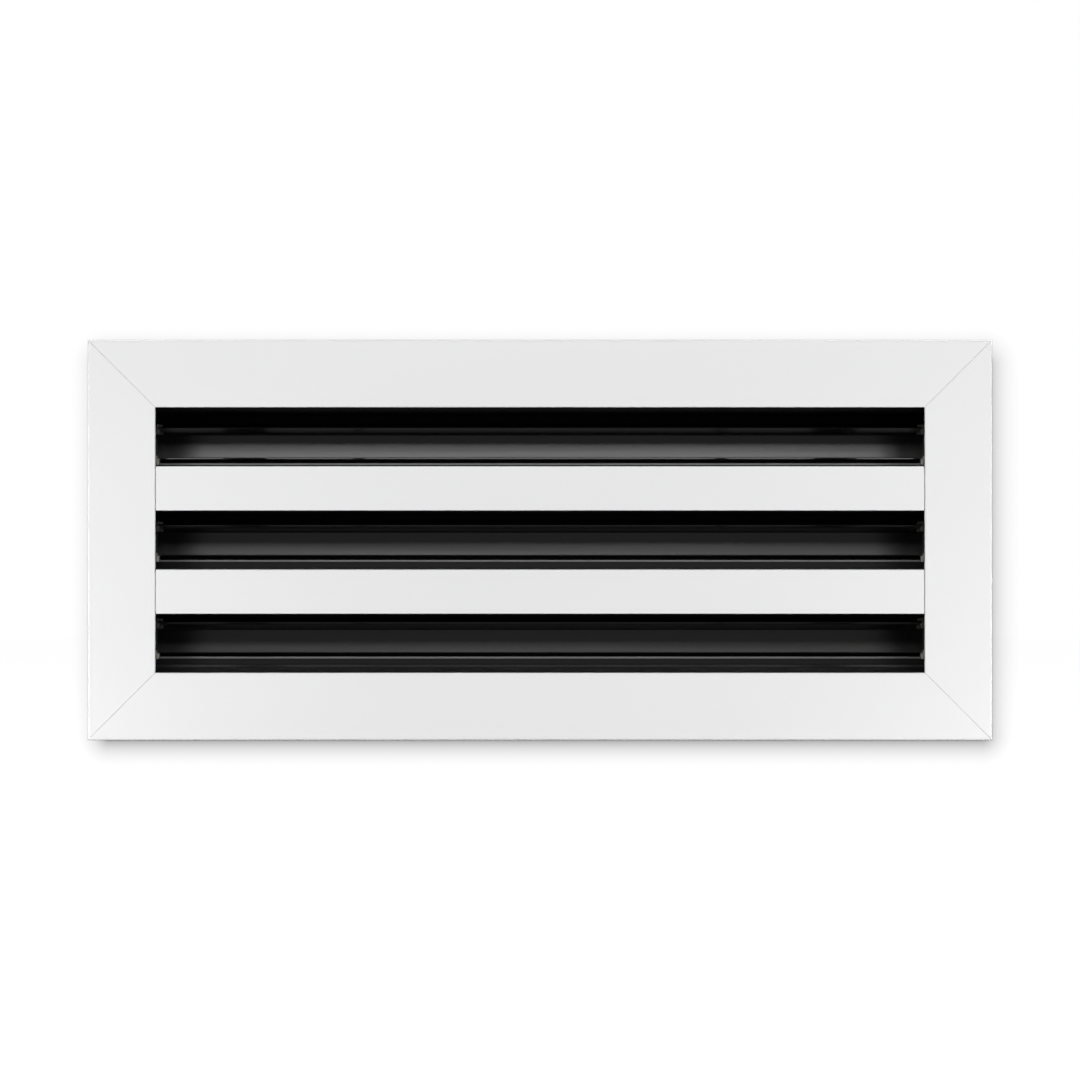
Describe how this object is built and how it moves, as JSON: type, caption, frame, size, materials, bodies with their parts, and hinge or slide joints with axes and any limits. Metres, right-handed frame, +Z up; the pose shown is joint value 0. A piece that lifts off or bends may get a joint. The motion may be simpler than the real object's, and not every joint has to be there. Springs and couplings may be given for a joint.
{
  "type": "linear slot diffuser",
  "caption": "Wall or ceiling air grille: a flanged white frame around long slots, with hinged black vanes in each slot that set how much air passes and which way it is thrown.",
  "frame": {"origin": "centre of the slots' opening, in the plane of the wall surface, which the border's outer return touches", "axes": "+X along the slots, +Z up, +Y into the wall; the face looks towards -Y"},
  "size_m": [0.3892, 0.058, 0.1722],
  "materials": {
    "powder_coat": "satin white powder coat on aluminium, black inside the slots",
    "black_paint": "matt black paint on aluminium",
    "zinc_steel": "bright zinc plate",
    "mill_aluminium": "mill finish",
    "nylon": "natural nylon",
    "foam": "closed-cell foam"
  },
  "bodies": {
    "grille": {"frame_top": "powder_coat", "frame_bottom": "powder_coat", "frame_left": "powder_coat", "frame_right": "powder_coat", "mullion_upper": "powder_coat", "mullion_lower": "powder_coat", "end_plate_left": "black_paint", "end_plate_right": "black_paint", "corner_keys": "mill_aluminium", "corner_key_screws": "zinc_steel", "end_plate_screws": "zinc_steel", "gasket_strips": "foam", "tie_rods": "zinc_steel", "spacer_tubes": "mill_aluminium", "tie_rod_washers": "zinc_steel", "tie_rod_nuts": "zinc_steel", "mounting_bars": "zinc_steel", "mounting_bar_screws": "zinc_steel"},
    "upper_vane_1": {"upper_vane_slot_1": "black_paint", "upper_caps_slot_1": "nylon"},
    "upper_vane_2": {"upper_vane_slot_2": "black_paint", "upper_caps_slot_2": "nylon"},
    "upper_vane_3": {"upper_vane_slot_3": "black_paint", "upper_caps_slot_3": "nylon"},
    "lower_vane_1": {"lower_vane_slot_1": "black_paint", "lower_caps_slot_1": "nylon"},
    "lower_vane_2": {"lower_vane_slot_2": "black_paint", "lower_caps_slot_2": "nylon"},
    "lower_vane_3": {"lower_vane_slot_3": "black_paint", "lower_caps_slot_3": "nylon"}
  },
  "joints": [
    {"name": "upper_vane_1_pivot", "type": "hinge", "parent": "grille", "child": "upper_vane_1", "pos_m": [0, 0.0319, 0.05075], "axis": [-1, 0, 0], "range_deg": [0, 66]},
    {"name": "upper_vane_2_pivot", "type": "hinge", "parent": "grille", "child": "upper_vane_2", "pos_m": [0, 0.0319, 0.0063], "axis": [-1, 0, 0], "range_deg": [0, 66]},
    {"name": "upper_vane_3_pivot", "type": "hinge", "parent": "grille", "child": "upper_vane_3", "pos_m": [0, 0.0319, -0.03815], "axis": [-1, 0, 0], "range_deg": [0, 66]},
    {"name": "lower_vane_1_pivot", "type": "hinge", "parent": "grille", "child": "lower_vane_1", "pos_m": [0, 0.0314, 0.03645], "axis": [1, 0, 0], "range_deg": [0, 80]},
    {"name": "lower_vane_2_pivot", "type": "hinge", "parent": "grille", "child": "lower_vane_2", "pos_m": [0, 0.0314, -0.008], "axis": [1, 0, 0], "range_deg": [0, 80]},
    {"name": "lower_vane_3_pivot", "type": "hinge", "parent": "grille", "child": "lower_vane_3", "pos_m": [0, 0.0314, -0.05245], "axis": [1, 0, 0], "range_deg": [0, 80]}
  ]
}
